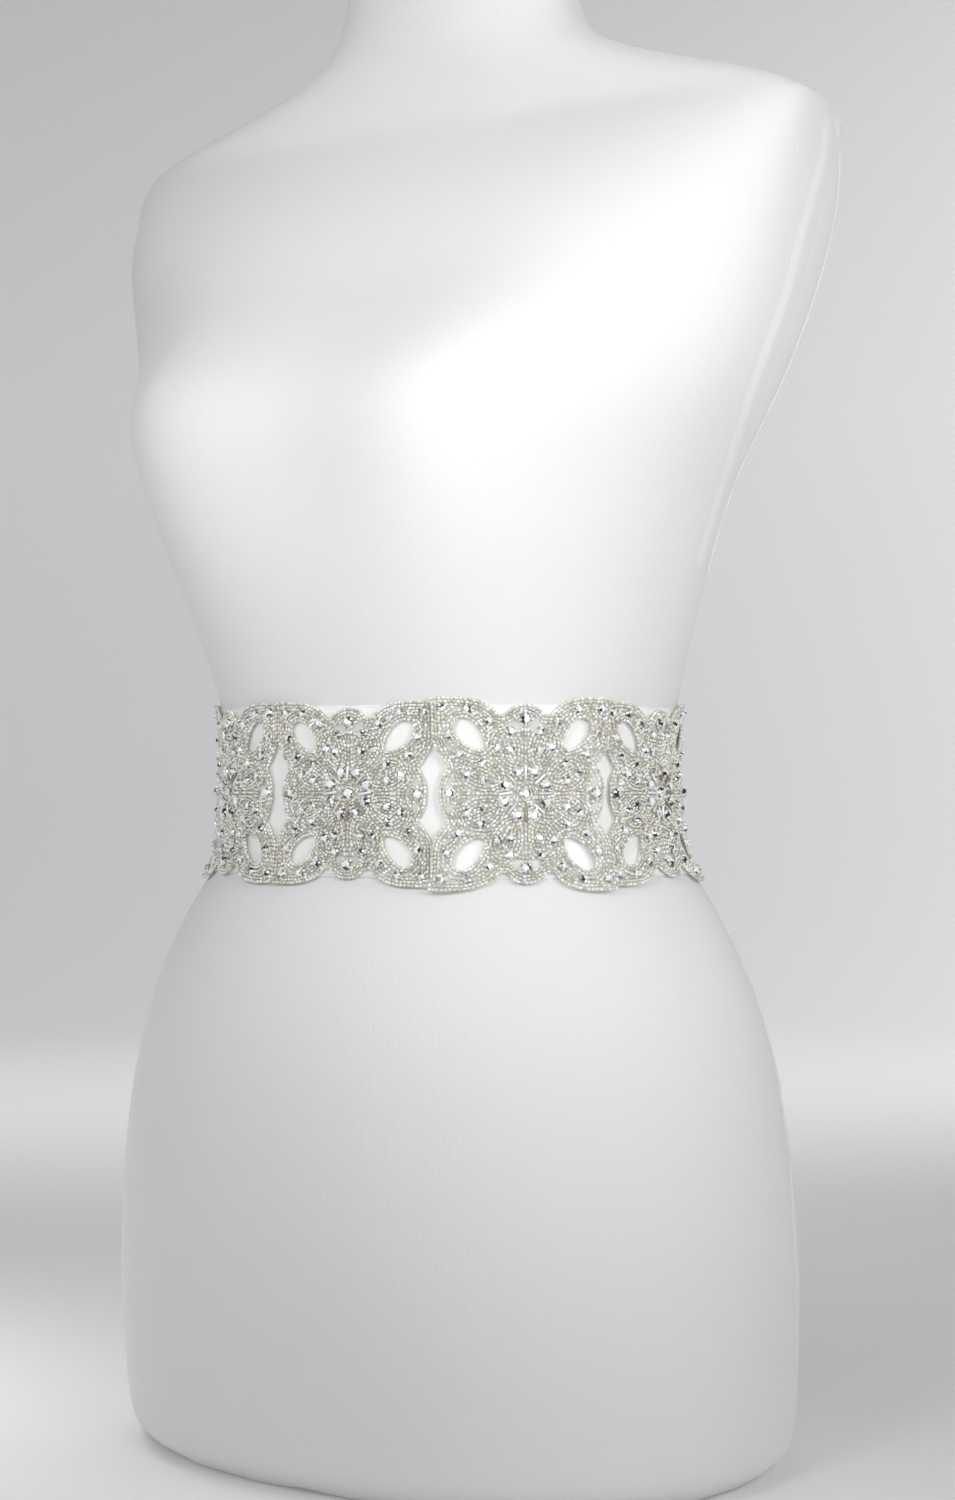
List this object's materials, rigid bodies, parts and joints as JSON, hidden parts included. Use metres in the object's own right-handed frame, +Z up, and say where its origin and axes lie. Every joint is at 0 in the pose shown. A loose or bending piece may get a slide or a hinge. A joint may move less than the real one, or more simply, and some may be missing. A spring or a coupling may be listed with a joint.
{
  "type": "bridal sash on dress form",
  "caption": "Wide beaded openwork sash in repeating scalloped panels on a satin ribbon, worn round the waist of a limbless jersey-covered dress form with a flat base.",
  "frame": {"origin": "middle of the dress form's flat base, where the form's vertical axis meets it", "axes": "+Z up along the form, -Y the way the form faces, +X to the wearer's left"},
  "size_m": [0.3976, 0.2732, 0.745],
  "materials": {
    "jersey": "fine white knit stretched over a firm form",
    "satin": "white satin ribbon",
    "beading": "silver-lined clear seed beads, bugles and faceted crystals in silver cups, sewn on sheer ground"
  },
  "bodies": {
    "root": {"dress_form": "jersey", "satin_ribbon": "satin", "beaded_panel_right_3": "beading", "beaded_panel_right_2": "beading", "beaded_panel_right_1": "beading", "beaded_panel_front": "beading", "beaded_panel_left_1": "beading", "beaded_panel_left_2": "beading", "beaded_panel_left_3": "beading", "beaded_panel_back": "beading"}
  },
  "joints": []
}
